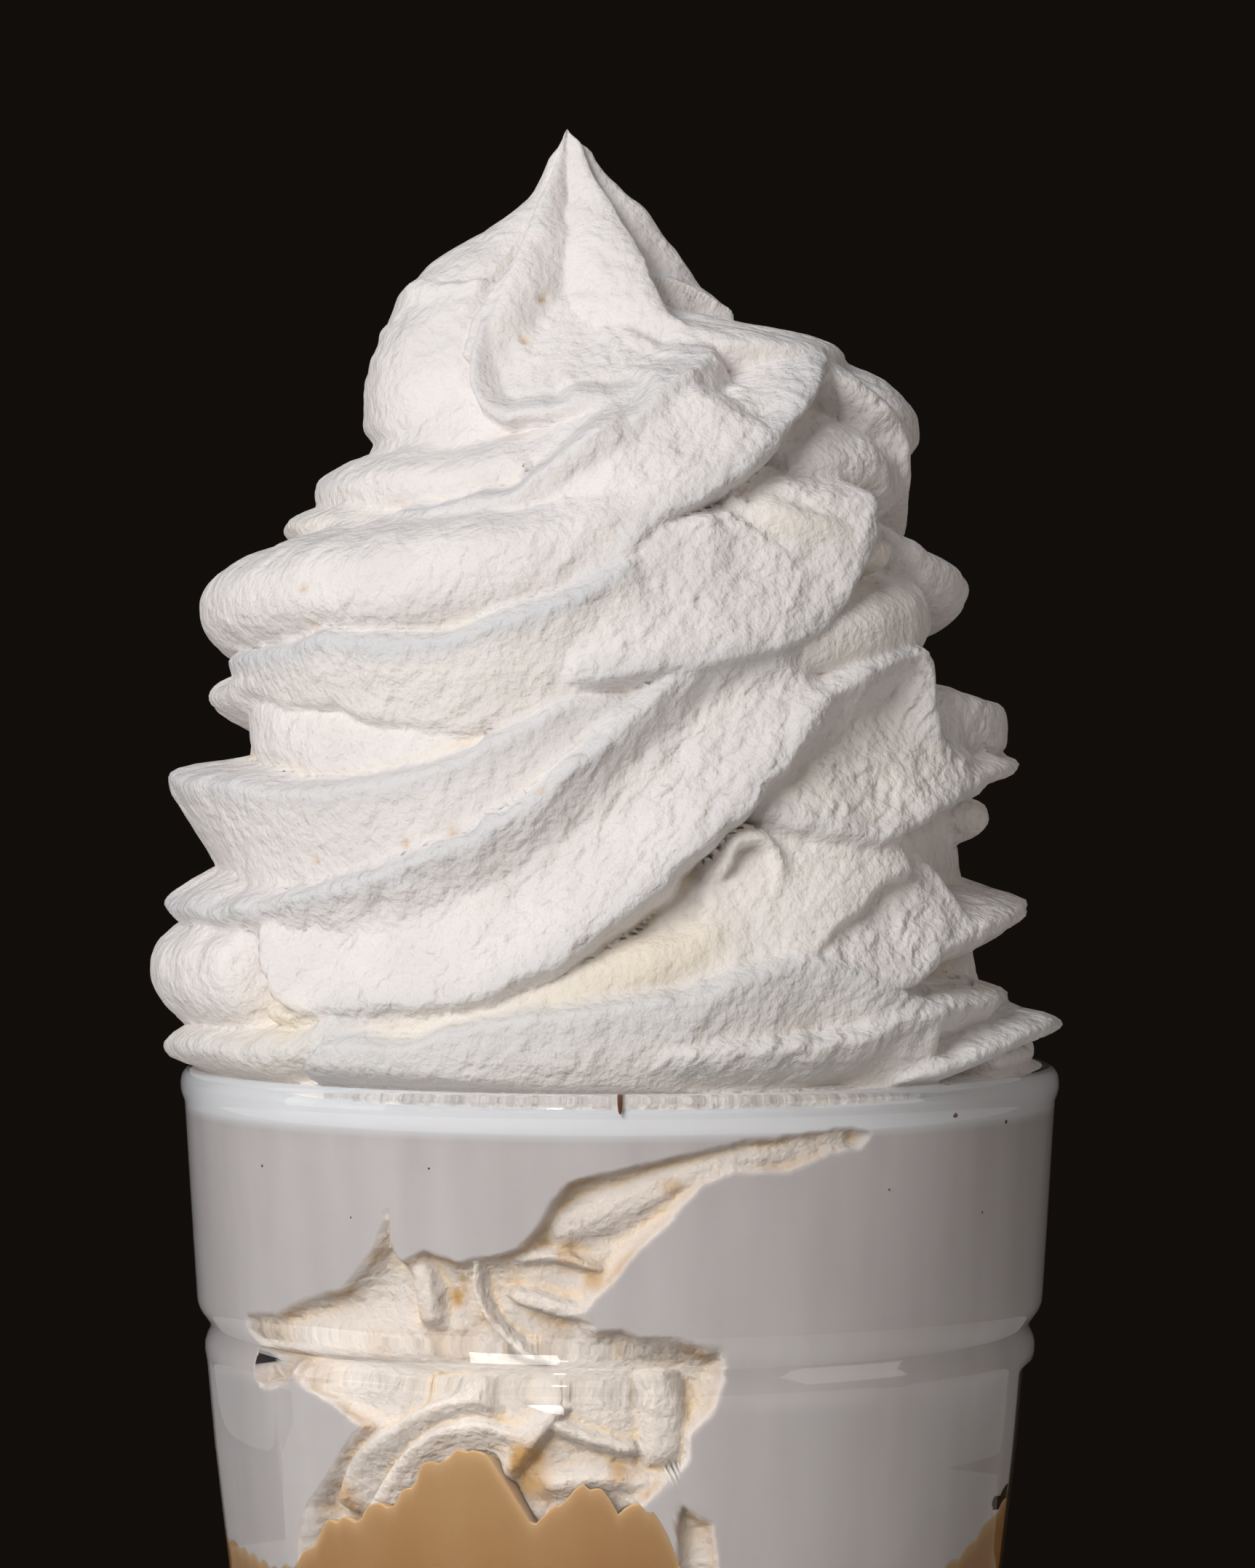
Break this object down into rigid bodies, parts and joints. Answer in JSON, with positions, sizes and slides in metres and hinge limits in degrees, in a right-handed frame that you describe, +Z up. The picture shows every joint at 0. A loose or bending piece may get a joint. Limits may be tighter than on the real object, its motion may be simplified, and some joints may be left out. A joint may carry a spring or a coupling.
{
  "type": "sundae glass with whipped cream",
  "caption": "Tall panelled dessert glass filled with milky coffee and whipped cream, under a high piped swirl of cream.",
  "frame": {"origin": "on the table, at the middle of the glass's base", "axes": "+Z up through the swirl's peak, -Y towards the side that the picture shows, +X to its right"},
  "size_m": [0.0826, 0.0835, 0.2152],
  "materials": {
    "clear_glass": "clear, polished, pressed with a groove and flat panels",
    "milky_coffee": "smooth, milky, slightly see-through at its edge",
    "whipped_cream": "soft satin, finely wrinkled, warm in the creases"
  },
  "bodies": {
    "root": {"glass": "clear_glass", "coffee_layer": "milky_coffee", "whipped_cream": "whipped_cream"}
  },
  "joints": []
}
